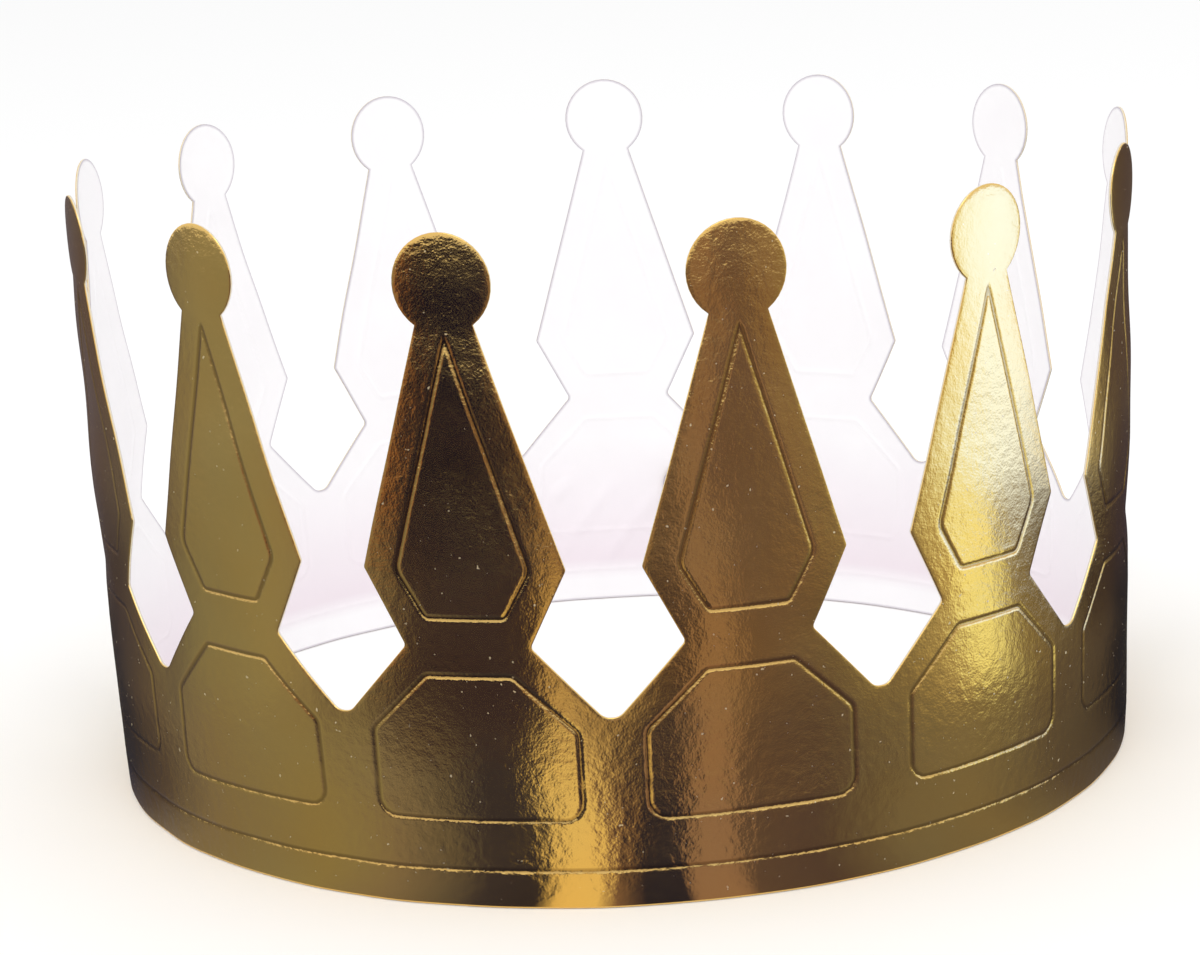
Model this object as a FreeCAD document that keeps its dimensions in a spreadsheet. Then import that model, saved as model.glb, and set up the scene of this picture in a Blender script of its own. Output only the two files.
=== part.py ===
import FreeCAD, Part
import math
import os

import Sketcher

# A gold paper crown: one strip of card, closed into a ring at the back, with
# thirteen points that are each a kite on a waist with a ball on top. Every
# point carries two pressed outlines, and one pressed line runs above the hem.
# Millimetres, +Z up. The origin is on the ring's axis at the hem. One point
# faces -Y, and the two ends of the strip meet at +Y, in a valley.

doc = FreeCAD.newDocument("paper_crown")

# Driving sizes. Widths are full widths and levels are heights above the hem.
# A rise or a drop is counted from the level that its note names.
sizes = doc.addObject("Spreadsheet::Sheet", "Sizes")
driving_sizes = [
    ("point_count", 13, "points round the crown, all alike"),
    ("head_radius", 94.7, "inside of the card at the hem"),
    ("card_thickness", 0.5, "laminated card"),
    ("flare_angle", 1.75, "degrees that the strip leans outward"),
    ("valley_level", 33.0, "bottom of the valleys between the points"),
    ("valley_width", 2.4, "flat at the bottom of a valley"),
    ("waist_rise", 12.3, "from the valleys up to the waist"),
    ("waist_width", 21.4, "narrowest place of a point, above the band"),
    ("corner_rise", 13.0, "from the waist up to the side corners"),
    ("corner_width", 34.4, "across the side corners"),
    ("spire_rise", 40.6, "from the side corners up to the neck"),
    ("neck_width", 9.8, "where the ball stands on the spire"),
    ("ball_radius", 8.3, "flat round ball at the top"),
    ("crease_width", 1.1, "pressed lines"),
    ("crease_depth", 0.25, "how far a line is pressed in from the gold side"),
    ("hem_crease_level", 6.7, "line above the hem"),
    ("kite_crease_drop", 2.0, "from the neck down to the tip of the kite outline"),
    ("kite_crease_border", 5.9, "from a side corner in to the kite outline"),
    ("kite_crease_rise", 5.0, "from the waist up to the foot of the kite outline"),
    ("kite_crease_foot_width", 13.5, "foot of the kite outline"),
    ("panel_crease_drop", 4.9, "from the waist down to the top of the panel outline"),
    ("panel_crease_top_width", 14.8, "top of the panel outline"),
    ("panel_crease_shoulder_drop", 2.4, "from the valleys down to the panel's shoulders"),
    ("panel_crease_border", 10.8, "between two neighbouring panel outlines"),
    ("panel_crease_rise", 8.8, "from the hem line up to the foot of the panel outline"),
    ("panel_crease_corner_cut", 1.9, "lower corners of the panel outline, cut off slantwise"),
    ("lap_gap", 0.5, "air between the two layers where the ends lap"),
    ("lap_length", 14.0, "how far the inner end reaches past the outer one"),
    ("lap_margin", 3.5, "from the hem and the valleys to the inner end's edges"),
    ("lap_corner_radius", 4.0, "corners of the inner end"),
    ("step_start", 1.4, "from the outer end's edge to the step between the layers"),
    ("step_length", 2.6, "along the strip, where a layer changes places"),
    ("tab_level", 19.0, "middle of the tab and its slot"),
    ("tab_neck_height", 12.0, "tab where it passes through the slot"),
    ("tab_head_height", 18.0, "tab behind the slot, which keeps it in"),
    ("tab_tip_height", 10.0, "end of the tab"),
    ("tab_head_length", 11.0, "tab behind the slot, up to where it narrows"),
    ("tab_tip_length", 3.5, "narrowing end of the tab"),
    ("slot_clearance", 0.3, "round the tab in its slot"),
]
for row, (alias, amount, note) in enumerate(driving_sizes, start=1):
    sizes.set(f"A{row}", alias)
    sizes.set(f"B{row}", str(amount))
    sizes.setAlias(f"B{row}", alias)
    sizes.set(f"C{row}", note)
doc.recompute()


# Formulas shared by several features, as expressions over the sheet.
def outer_radius(level):
    """Radius of the gold side at a level."""
    return f"(Sizes.head_radius + Sizes.card_thickness + ({level}) * tan(Sizes.flare_angle))"


def value(expression):
    """The number that an expression over the sheet gives now."""
    return float(sizes.evalExpression(expression))


valley_level = "Sizes.valley_level"
waist_level = f"({valley_level} + Sizes.waist_rise)"
corner_level = f"({waist_level} + Sizes.corner_rise)"
neck_level = f"({corner_level} + Sizes.spire_rise)"
ball_level = f"({neck_level} + sqrt(Sizes.ball_radius ^ 2 - (Sizes.neck_width / 2) ^ 2))"
crown_height = f"({ball_level} + Sizes.ball_radius)"
half_pitch = f"({outer_radius(valley_level)} * sin(180 / Sizes.point_count))"
layer_drop = "(Sizes.card_thickness + Sizes.lap_gap)"

# Room that a cutting tool or an uncut blank has past the surfaces it meets.
SPARE = 2.0
# How far inside the card the radial cutters start.
CUTTER_INSET = 6.0
blank_top = f"({crown_height} + {SPARE})"


# The places on an edge, and the sketch's own origin, as constraints number them.
START = 1
END = 2
CENTRE = 3
ORIGIN = -1


# Sketch helpers: every corner of a profile is placed by two expressions.
def new_sketch(body, name, plane, offset="0"):
    """A sketch on one of the body's origin planes, moved along its normal."""
    sketch = body.newObject("Sketcher::SketchObject", name)
    origin_plane = [item for item in body.Origin.OriginFeatures if item.Role == plane][0]
    sketch.AttachmentSupport = [(origin_plane, "")]
    sketch.MapMode = "FlatFace"
    sketch.setExpression("AttachmentOffset.Base.z", offset)
    return sketch


def bind(sketch, kind, geometry, position, expression):
    """Place one end or centre along X or Y from the sketch's origin."""
    place = value(expression)
    index = sketch.addConstraint(Sketcher.Constraint(kind, ORIGIN, START, geometry, position, place))
    sketch.setExpression(f"Constraints[{index}]", expression)


def bind_radius(sketch, geometry, expression):
    """Give an arc its radius."""
    radius = value(expression)
    index = sketch.addConstraint(Sketcher.Constraint("Radius", geometry, radius))
    sketch.setExpression(f"Constraints[{index}]", expression)


def point(x_place, y_place):
    """The place of two expressions as a vector in the sketch's plane."""
    return FreeCAD.Vector(value(x_place), value(y_place), 0)


def add_line(sketch, start, end):
    """A straight edge between two (x, y) pairs of expressions."""
    return sketch.addGeometry(Part.LineSegment(point(*start), point(*end)))


def join_loop(sketch, edges):
    """Join each edge's end to the next edge's start; an edge is (index, start, end)."""
    for (edge, _, end), (follower, start, _) in zip(edges, edges[1:] + edges[:1]):
        sketch.addConstraint(Sketcher.Constraint("Coincident", edge, end, follower, start))


def bind_end(sketch, geometry, position, place):
    """Place one end of an edge by both of its expressions."""
    bind(sketch, "DistanceX", geometry, position, place[0])
    bind(sketch, "DistanceY", geometry, position, place[1])


def polygon(sketch, corners):
    """A closed outline of straight edges through the corners."""
    edges = []
    for start, end in zip(corners, corners[1:] + corners[:1]):
        edges.append((add_line(sketch, start, end), START, END))
    join_loop(sketch, edges)
    for (edge, _, _), corner in zip(edges, corners):
        bind_end(sketch, edge, START, corner)


def mirrored(place):
    """The same place on the other side of the middle."""
    return (f"-({place[0]})", place[1])


# The strip in plan: an arc round the head, closed at +Y, where one end steps
# inward and runs on behind the other. A place along the strip is a length
# past the outer end, taken at the hem. It keeps its direction from the axis
# at every level, so that each layer is part of a true cone.
def layer_radius(level, depth):
    """Radius at a level of the surface that lies a depth inside the gold side."""
    return f"({outer_radius(level)} - {depth})"


def place_on_layer(length, level, depth):
    """Place of a length along one surface of the strip, in plan."""
    radius = layer_radius(level, depth)
    across = f"(({length}) * {radius} / {layer_radius('0', depth)})"
    return (across, f"sqrt({radius} ^ 2 - {across} ^ 2)")


def add_arc(sketch, start, end, radius):
    """Arc about the axis, anticlockwise from one place to another."""
    start_angle = math.atan2(value(start[1]), value(start[0]))
    end_angle = math.atan2(value(end[1]), value(end[0]))
    if end_angle <= start_angle:
        end_angle += 2 * math.pi
    circle = Part.Circle(FreeCAD.Vector(0, 0, 0), FreeCAD.Vector(0, 0, 1), value(radius))
    arc = sketch.addGeometry(Part.ArcOfCircle(circle, start_angle, end_angle))
    sketch.addConstraint(Sketcher.Constraint("Coincident", arc, CENTRE, ORIGIN, START))
    return arc


def bind_on_circle(sketch, arc, position, place):
    """Place an arc's end along the axis that its circle crosses less steeply."""
    if abs(value(place[0])) < abs(value(place[1])):
        bind(sketch, "DistanceX", arc, position, place[0])
    else:
        bind(sketch, "DistanceY", arc, position, place[1])


def arc_on_layer(sketch, level, depth, from_length, to_length):
    """Arc between two lengths near the join, on one surface of the strip."""
    start = place_on_layer(from_length, level, depth)
    end = place_on_layer(to_length, level, depth)
    radius = layer_radius(level, depth)
    arc = add_arc(sketch, start, end, radius)
    bind_radius(sketch, arc, radius)
    bind_on_circle(sketch, arc, START, start)
    bind_on_circle(sketch, arc, END, end)
    return arc


def ring_arcs(sketch, level, depth, arcs_per_point):
    """Arcs from the outer end round to the step, as many as asked for each point of the crown."""
    radius = layer_radius(level, depth)
    arc_count = arcs_per_point * round(value("Sizes.point_count"))
    places = [place_on_layer(outer_end, level, depth)]
    for number in range(1, arc_count):
        turn = f"(90 + {number} * 360 / Sizes.point_count / {arcs_per_point})"
        places.append((f"({radius} * cos({turn}))", f"({radius} * sin({turn}))"))
    places.append(place_on_layer(step_end, level, depth))
    arcs = []
    for start, end in zip(places, places[1:]):
        arc = add_arc(sketch, start, end, radius)
        bind_on_circle(sketch, arc, END, end)
        arcs.append(arc)
    bind_radius(sketch, arcs[0], radius)
    bind_on_circle(sketch, arcs[0], START, places[0])
    return arcs


# Lengths along the strip, past the outer end.
outer_end = "0"
step_start = "Sizes.step_start"
step_end = "(Sizes.step_start + Sizes.step_length)"
inner_end = "(-Sizes.lap_length)"
head_start = f"({step_end} + 2 * Sizes.slot_clearance)"
head_end = f"({head_start} + Sizes.tab_head_length)"
tip_end = f"({head_end} + Sizes.tab_tip_length)"

# Depths of the card's two sides, and of the same sides in the inner layer.
GOLD = "0"
WHITE = "Sizes.card_thickness"
LOW_GOLD = layer_drop
LOW_WHITE = f"({layer_drop} + Sizes.card_thickness)"


def end_edge(sketch, level, start_length, start_depth, end_length, end_depth):
    """A straight edge of the plan, where the card ends or changes layer."""
    start = place_on_layer(start_length, level, start_depth)
    end = place_on_layer(end_length, level, end_depth)
    return add_line(sketch, start, end)


# Faces that each side has on one point of the crown. The white side has no
# pressed lines to break it up, so it is divided more finely.
GOLD_FACES = 1
WHITE_FACES = 2


def strip_plan(body, name, level):
    """Plan of the whole strip at one level."""
    sketch = new_sketch(body, name, "XY_Plane", level)
    gold_arcs = [(arc, START, END) for arc in ring_arcs(sketch, level, GOLD, GOLD_FACES)]
    white_arcs = [(arc, END, START) for arc in ring_arcs(sketch, level, WHITE, WHITE_FACES)[::-1]]
    inner_layer_edges = [
        (end_edge(sketch, level, step_end, GOLD, step_start, LOW_GOLD), START, END),
        (arc_on_layer(sketch, level, LOW_GOLD, step_start, inner_end), START, END),
        (end_edge(sketch, level, inner_end, LOW_GOLD, inner_end, LOW_WHITE), START, END),
        (arc_on_layer(sketch, level, LOW_WHITE, step_start, inner_end), END, START),
        (end_edge(sketch, level, step_start, LOW_WHITE, step_end, WHITE), START, END),
    ]
    outer_end_edge = (end_edge(sketch, level, outer_end, WHITE, outer_end, GOLD), START, END)
    join_loop(sketch, gold_arcs + inner_layer_edges + white_arcs + [outer_end_edge])
    return sketch


def tab_plan(body, name, level):
    """Plan of the tab at one level: it leaves the outer end and steps inward through the slot."""
    sketch = new_sketch(body, name, "XY_Plane", level)
    join_loop(sketch, [
        (end_edge(sketch, level, outer_end, WHITE, outer_end, GOLD), START, END),
        (arc_on_layer(sketch, level, GOLD, step_start, outer_end), END, START),
        (end_edge(sketch, level, step_start, GOLD, step_end, LOW_GOLD), START, END),
        (arc_on_layer(sketch, level, LOW_GOLD, tip_end, step_end), END, START),
        (end_edge(sketch, level, tip_end, LOW_GOLD, tip_end, LOW_WHITE), START, END),
        (arc_on_layer(sketch, level, LOW_WHITE, tip_end, step_end), START, END),
        (end_edge(sketch, level, step_end, LOW_WHITE, step_start, WHITE), START, END),
        (arc_on_layer(sketch, level, WHITE, step_start, outer_end), START, END),
    ])
    return sketch


def sheet_between(name, plan):
    """A body of card that follows one plan from the hem to above the balls."""
    body = doc.addObject("PartDesign::Body", name)
    hem_plan = plan(body, f"{name}_plan_at_hem", "0")
    top_plan = plan(body, f"{name}_plan_at_top", blank_top)
    sheet = body.newObject("PartDesign::AdditiveLoft", f"{name}_sheet")
    sheet.Profile = hem_plan
    sheet.Sections = [top_plan]
    sheet.Ruled = True
    sheet.Refine = False
    return body


strip = sheet_between("strip", strip_plan)
tab_sheet = sheet_between("tab", tab_plan)


# Outlines seen square to the card are cut through it along a radius. Their
# sketches lie just inside the card, in front (-Y) or behind (+Y).
inset_distance = f"(Sizes.head_radius - {layer_drop} - {CUTTER_INSET})"
cutter_length = f"({outer_radius(blank_top)} + {SPARE} - {inset_distance})"


def front_sketch(body, name):
    """A sketch that faces -Y from inside the ring's front."""
    return new_sketch(body, name, "XZ_Plane", inset_distance)


def back_sketch(body, name):
    """A sketch just inside the ring's back, with X and Z as its axes."""
    return new_sketch(body, name, "XZ_Plane", f"-{inset_distance}")


def radial_pad(body, sketch, name, to_back):
    """The outline carried through the card."""
    pad = body.newObject("PartDesign::Pad", name)
    pad.Profile = sketch
    pad.setExpression("Length", cutter_length)
    pad.Reversed = to_back
    return pad


# One point's outline, from below the hem to its ball, wide enough at the band
# to reach into its neighbours, and the same all round the ring.
point_outline = doc.addObject("PartDesign::Body", "point_outline")
outline = front_sketch(point_outline, "outline")
band_side = f"({half_pitch} + {SPARE})"
valley_side = f"({half_pitch} - Sizes.valley_width / 2)"
below_hem = f"-{SPARE}"
side_places = [
    (band_side, below_hem),
    (band_side, valley_level),
    (valley_side, valley_level),
    ("(Sizes.waist_width / 2)", waist_level),
    ("(Sizes.corner_width / 2)", corner_level),
    ("(Sizes.neck_width / 2)", neck_level),
]
right_side = [
    (add_line(outline, start, end), START, END) for start, end in zip(side_places, side_places[1:])
]
neck_half_turn = math.asin(value("Sizes.neck_width / 2 / Sizes.ball_radius"))
ball_circle = Part.Circle(point("0", ball_level), FreeCAD.Vector(0, 0, 1), value("Sizes.ball_radius"))
ball = outline.addGeometry(
    Part.ArcOfCircle(ball_circle, neck_half_turn - math.pi / 2, 3 * math.pi / 2 - neck_half_turn)
)
left_places = [mirrored(place) for place in reversed(side_places)]
left_side = [
    (add_line(outline, start, end), START, END) for start, end in zip(left_places, left_places[1:])
]
under_hem = (add_line(outline, left_places[-1], side_places[0]), START, END)
join_loop(outline, right_side + [(ball, START, END)] + left_side + [under_hem])
for (edge, _, _), place in zip(right_side, side_places):
    bind_end(outline, edge, START, place)
for (edge, _, _), place in zip(left_side, left_places[1:]):
    bind_end(outline, edge, END, place)
bind(outline, "DistanceX", ball, CENTRE, "0")
bind(outline, "DistanceY", ball, CENTRE, ball_level)
bind_radius(outline, ball, "Sizes.ball_radius")
bind(outline, "DistanceX", ball, START, side_places[-1][0])
bind(outline, "DistanceX", ball, END, left_places[0][0])
one_point = radial_pad(point_outline, outline, "one_point", False)
doc.recompute()
all_points = point_outline.newObject("PartDesign::PolarPattern", "all_points")
all_points.Originals = [one_point]
z_axis = [item for item in point_outline.Origin.OriginFeatures if item.Role == "Z_Axis"][0]
all_points.Axis = (z_axis, [""])
all_points.setExpression("Occurrences", "Sizes.point_count")
point_outline.Tip = all_points
doc.recompute()


def boolean(kind, name, base, tool):
    """A cut, fuse or common of two shapes."""
    feature = doc.addObject(kind, name)
    feature.Base = base
    feature.Tool = tool
    feature.Refine = False
    return feature


cut_strip = boolean("Part::Common", "cut_strip", strip, point_outline)


# The inner end is a low tongue with rounded corners. What the die takes off
# above, below and behind it is cut from the inner layer alone.
def corner_arc(sketch, centre, radius, quarter):
    """A quarter circle, anticlockwise from a quarter turn's start."""
    circle = Part.Circle(point(*centre), FreeCAD.Vector(0, 0, 1), value(radius))
    start = quarter * math.pi / 2
    arc = sketch.addGeometry(Part.ArcOfCircle(circle, start, start + math.pi / 2))
    bind_end(sketch, arc, CENTRE, centre)
    bind_radius(sketch, arc, radius)
    level_end, upright_end = (START, END) if quarter % 2 == 0 else (END, START)
    bind(sketch, "DistanceY", arc, level_end, centre[1])
    bind(sketch, "DistanceX", arc, upright_end, centre[0])
    return arc


def shifted(expression, change):
    """An expression with another added to it."""
    return f"({expression} + {change})"


lap_offcut = doc.addObject("PartDesign::Body", "lap_offcut")
offcut = back_sketch(lap_offcut, "offcut")
tongue_foot = "Sizes.lap_margin"
tongue_head = f"({valley_level} - Sizes.lap_margin)"
tongue_round = "Sizes.lap_corner_radius"
offcut_far = f"({inner_end} - {SPARE})"
offcut_high = f"({blank_top} + {SPARE})"
round_x = shifted(inner_end, tongue_round)
high_centre = (round_x, shifted(tongue_head, f"-{tongue_round}"))
low_centre = (round_x, shifted(tongue_foot, tongue_round))
offcut_places = [
    (outer_end, tongue_foot), (outer_end, below_hem), (offcut_far, below_hem),
    (offcut_far, offcut_high), (outer_end, offcut_high), (outer_end, tongue_head),
]
offcut_edges = [
    (add_line(offcut, start, end), START, END) for start, end in zip(offcut_places, offcut_places[1:])
]
for (edge, _, _), place in zip(offcut_edges, offcut_places):
    bind_end(offcut, edge, START, place)
bind_end(offcut, offcut_edges[-1][0], END, offcut_places[-1])
head_edge = add_line(offcut, (outer_end, tongue_head), (round_x, tongue_head))
high_arc = corner_arc(offcut, high_centre, tongue_round, 1)
tip_edge = add_line(offcut, (inner_end, high_centre[1]), (inner_end, low_centre[1]))
low_arc = corner_arc(offcut, low_centre, tongue_round, 2)
foot_edge = add_line(offcut, (round_x, tongue_foot), (outer_end, tongue_foot))
join_loop(offcut, offcut_edges + [
    (head_edge, START, END), (high_arc, START, END), (tip_edge, START, END), (low_arc, START, END), (foot_edge, START, END),
])
radial_pad(lap_offcut, offcut, "offcut_pad", True)

inner_layer = doc.addObject("Part::Cone", "inner_layer")
between_layers = "(Sizes.card_thickness + Sizes.lap_gap / 2)"
inner_layer.Placement = FreeCAD.Placement(FreeCAD.Vector(0, 0, -SPARE), FreeCAD.Rotation())
inner_layer.setExpression("Radius1", layer_radius(f"(-{SPARE})", between_layers))
inner_layer.setExpression("Radius2", layer_radius(blank_top, between_layers))
inner_layer.setExpression("Height", f"{blank_top} + {SPARE}")
inner_offcut = boolean("Part::Common", "inner_offcut", lap_offcut, inner_layer)
lapped_strip = boolean("Part::Cut", "lapped_strip", cut_strip, inner_offcut)

# The slot is an upright window in the step, with room round the tab.
slot = doc.addObject("Part::Box", "slot")
slot.setExpression("Length", "Sizes.step_length + 2 * Sizes.slot_clearance")
slot.setExpression("Width", cutter_length)
slot.setExpression("Height", "Sizes.tab_neck_height + 2 * Sizes.slot_clearance")
slot.setExpression("Placement.Base.x", "Sizes.step_start - Sizes.slot_clearance")
slot.setExpression("Placement.Base.y", inset_distance)
slot.setExpression(
    "Placement.Base.z", "Sizes.tab_level - Sizes.tab_neck_height / 2 - Sizes.slot_clearance"
)
slotted_strip = boolean("Part::Cut", "slotted_strip", lapped_strip, slot)

# The tab: a neck through the slot and a wider head behind it.
tab_outline = doc.addObject("PartDesign::Body", "tab_outline")
tab_sketch = back_sketch(tab_outline, "tab_shape")
before_outer_end = f"-{SPARE}"
tab_widths = [
    (before_outer_end, "Sizes.tab_neck_height"),
    (head_start, "Sizes.tab_neck_height"),
    (head_start, "Sizes.tab_head_height"),
    (head_end, "Sizes.tab_head_height"),
    (tip_end, "Sizes.tab_tip_height"),
]
upper_places = [(length, f"(Sizes.tab_level + {height} / 2)") for length, height in tab_widths]
lower_places = [(length, f"(Sizes.tab_level - {height} / 2)") for length, height in tab_widths]
polygon(tab_sketch, upper_places + lower_places[::-1])
radial_pad(tab_outline, tab_sketch, "tab_pad", True)
closing_tab = boolean("Part::Common", "closing_tab", tab_sheet, tab_outline)
closed_strip = boolean("Part::Fuse", "closed_strip", slotted_strip, closing_tab)
doc.recompute()


# The pressed lines. Each is a band of one width along an outline, carried
# through the card and kept only down to the groove's floor, which follows the
# gold side. The white side stays smooth.
def on_front(x_place, level):
    """A point of an outline in front of the card, by two expressions."""
    return FreeCAD.Vector(value(x_place), -value(inset_distance), value(level))


# The offset that carries straight edges on to a sharp corner.
SHARP_CORNERS = 2


def pressed_band(corners):
    """The band along a closed outline through its corners, carried through the card."""
    outline_wire = Part.makePolygon(corners + corners[:1])
    half_width = value("Sizes.crease_width") / 2
    face = Part.Face(outline_wire.makeOffset2D(half_width, SHARP_CORNERS))
    face = face.cut(Part.Face(outline_wire.makeOffset2D(-half_width, SHARP_CORNERS)))
    return face.extrude(FreeCAD.Vector(0, -value(cutter_length), 0))


def cone_shell(inner_depth, outer_depth):
    """The space between two depths inside the gold side, from below the hem to the top."""
    low, high = below_hem, blank_top
    corners = []
    for depth, level in ((inner_depth, low), (outer_depth, low), (outer_depth, high), (inner_depth, high)):
        corners.append(FreeCAD.Vector(value(layer_radius(level, depth)), 0, value(level)))
    section = Part.Face(Part.makePolygon(corners + corners[:1]))
    return section.revolve(FreeCAD.Vector(0, 0, 0), FreeCAD.Vector(0, 0, 1), 360)


kite_half = "(Sizes.corner_width / 2 - Sizes.kite_crease_border)"
kite_foot_half = "(Sizes.kite_crease_foot_width / 2)"
kite_foot_level = f"({waist_level} + Sizes.kite_crease_rise)"
kite_band = pressed_band([
    on_front("0", f"{neck_level} - Sizes.kite_crease_drop"),
    on_front(kite_half, corner_level),
    on_front(kite_foot_half, kite_foot_level),
    on_front(f"-{kite_foot_half}", kite_foot_level),
    on_front(f"-{kite_half}", corner_level),
])

panel_half = f"({half_pitch} - Sizes.panel_crease_border / 2)"
panel_top_half = "(Sizes.panel_crease_top_width / 2)"
panel_top_level = f"({waist_level} - Sizes.panel_crease_drop)"
panel_shoulder_level = f"({valley_level} - Sizes.panel_crease_shoulder_drop)"
panel_foot_level = "(Sizes.hem_crease_level + Sizes.panel_crease_rise)"
panel_cut_half = f"({panel_half} - Sizes.panel_crease_corner_cut)"
panel_cut_level = f"({panel_foot_level} + Sizes.panel_crease_corner_cut)"
panel_band = pressed_band([
    on_front(panel_top_half, panel_top_level),
    on_front(panel_half, panel_shoulder_level),
    on_front(panel_half, panel_cut_level),
    on_front(panel_cut_half, panel_foot_level),
    on_front(f"-{panel_cut_half}", panel_foot_level),
    on_front(f"-{panel_half}", panel_cut_level),
    on_front(f"-{panel_half}", panel_shoulder_level),
    on_front(f"-{panel_top_half}", panel_top_level),
])

# The hem line runs all round, from beside the step to the outer end.
hem_half_width = value("Sizes.crease_width") / 2
hem_section = Part.makePlane(
    value(cutter_length), 2 * hem_half_width,
    FreeCAD.Vector(value(inset_distance), 0, value("Sizes.hem_crease_level") + hem_half_width),
    FreeCAD.Vector(0, 1, 0),
)
step_turn = math.degrees(value(f"({step_end} + Sizes.crease_width) / {outer_radius('0')}"))
end_turn = math.degrees(value(f"Sizes.crease_width / {outer_radius('0')}"))
hem_band = hem_section.revolve(
    FreeCAD.Vector(0, 0, 0), FreeCAD.Vector(0, 0, 1), 360 - step_turn - end_turn
)
hem_band.rotate(FreeCAD.Vector(0, 0, 0), FreeCAD.Vector(0, 0, 1), 90 + end_turn)

groove_shell = cone_shell("Sizes.crease_depth", f"-{SPARE}")
pitch = 360 / value("Sizes.point_count")
groove_solids = [hem_band.common(groove_shell)]
for band in (kite_band, panel_band):
    groove = band.common(groove_shell)
    for number in range(round(value("Sizes.point_count"))):
        turned = groove.copy()
        turned.rotate(FreeCAD.Vector(0, 0, 0), FreeCAD.Vector(0, 0, 1), number * pitch)
        groove_solids.append(turned)
grooves = doc.addObject("Part::Feature", "pressed_grooves")
grooves.Shape = Part.makeCompound(groove_solids)
crown = boolean("Part::Cut", "crown", closed_strip, grooves)
crown.Label = "crown_strip"
doc.recompute()

for item in doc.Objects:
    if "Invalid" in item.State or "Error" in item.State:
        raise RuntimeError(f"{item.Name} failed: {item.State}")
if crown.Shape.isNull() or not crown.Shape.isValid():
    raise RuntimeError("the crown has no valid shape")
os.makedirs("parts", exist_ok=True)
crown.Shape.exportStep(f"parts/{crown.Label}.step")
print(f"{crown.Label}: {len(crown.Shape.Solids)} solid, {crown.Shape.Volume:.1f} mm3")
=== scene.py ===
import math

import bmesh
import bpy
import numpy as np
from mathutils import Matrix, Vector
from mathutils.geometry import delaunay_2d_cdt


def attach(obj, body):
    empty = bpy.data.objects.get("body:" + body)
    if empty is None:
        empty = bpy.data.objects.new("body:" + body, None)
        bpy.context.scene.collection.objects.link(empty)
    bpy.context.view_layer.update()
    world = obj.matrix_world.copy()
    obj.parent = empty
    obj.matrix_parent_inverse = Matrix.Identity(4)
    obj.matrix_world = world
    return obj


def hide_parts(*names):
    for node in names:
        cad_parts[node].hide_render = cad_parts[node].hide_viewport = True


# A gold paper crown standing on a pale floor. The card is drawn flat, one
# point of the crown at a time, and then carried round on its cone.
# Lengths are millimetres until a vertex is placed, and then metres.
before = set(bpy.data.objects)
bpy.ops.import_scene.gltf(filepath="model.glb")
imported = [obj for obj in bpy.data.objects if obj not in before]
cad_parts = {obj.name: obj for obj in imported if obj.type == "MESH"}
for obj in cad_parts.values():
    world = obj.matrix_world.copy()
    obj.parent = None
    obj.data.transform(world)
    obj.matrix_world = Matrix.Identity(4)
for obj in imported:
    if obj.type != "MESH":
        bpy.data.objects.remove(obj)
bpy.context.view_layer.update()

MM = 0.001
WAVE_SEED = 11

# The crown's own sizes, as in its CAD model.
POINTS = 13
PITCH = 2 * math.pi / POINTS
HEM_RADIUS = 95.2
FLARE = math.tan(math.radians(1.75))
CARD = 0.5
VALLEY_LEVEL = 33.0
VALLEY_HALF = 1.2
WAIST_LEVEL = 45.3
WAIST_HALF = 10.7
CORNER_LEVEL = 58.3
CORNER_HALF = 17.2
NECK_LEVEL = 98.9
NECK_HALF = 4.9
BALL_RADIUS = 8.3
BALL_LEVEL = NECK_LEVEL + math.sqrt(BALL_RADIUS ** 2 - NECK_HALF ** 2)
VALLEY_ROUND = 2.2
WAIST_ROUND = 0.9
CORNER_ROUND = 0.8

# Pressed lines.
HEM_LINE_LEVEL = 6.7
KITE_LINE = np.array([(0, 96.9), (-11.3, 58.3), (-6.75, 50.3), (6.75, 50.3), (11.3, 58.3)])
KITE_ROUNDS = (0.0, 3.0, 1.3, 1.3, 3.0)
PANEL_LINE = np.array([
    (7.4, 40.4), (-7.4, 40.4), (-17.6, 30.6), (-17.6, 15.5), (17.6, 15.5), (17.6, 30.6),
])
PANEL_ROUNDS = (1.6, 1.6, 2.2, 3.0, 3.0, 2.2)
PRESSED_LINES = ((KITE_LINE, KITE_ROUNDS), (PANEL_LINE, PANEL_ROUNDS))
SMALLEST_ROUND = 0.05
GROOVE_DEPTH = 0.15
GROOVE_HALF = 0.55
RIDGE_HEIGHT = 0.14
RIDGE_HALF = 0.8
LIP_HEIGHT = 0.03
LIP_PLACE = 0.9
LIP_SPREAD = 0.35
NICK_HALF = 0.6
NICK_SHARE = 0.85
NICKS = np.array([(0, 50.3), (-17.6, 21.5), (17.6, 21.5)])

# Rows of vertices on the flat pattern, by their distance from the cut edge and from a pressed line.
EDGE_ROWS = (0.0, 0.04, 0.09, 0.16, 0.75, 1.9, 3.4)
CUT_ROWS = 5
LINE_ROWS = (-1.2, -0.8, -0.55, -0.28, 0.0, 0.28, 0.55, 0.8, 1.2)
EDGE_SPACING = 1.5
LINE_SPACING = 1.6
TAB_SPACING = 0.8
HEM_STEPS = 32
HEM_LINE_STEPS = 30
BALL_STEPS = 17
CORNER_STEPS = 5
BAND_START = 9.5
BAND_END = 28.2

# Vertices in the open field, and the room that they leave beside lines and edges.
FIELD_LEVELS = (1.9, 113)
FIELD_HALF = 23
FIELD_SPACING = 2.8
LINE_ROOM = 2.2
SIDE_ROOM = 1.4
CUT_ROOM = 1.6
SLOT_ROOM = 0.3
END_SPACING = 2.4
END_MARGIN = 1.2
END_ROOM = 1.0

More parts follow.
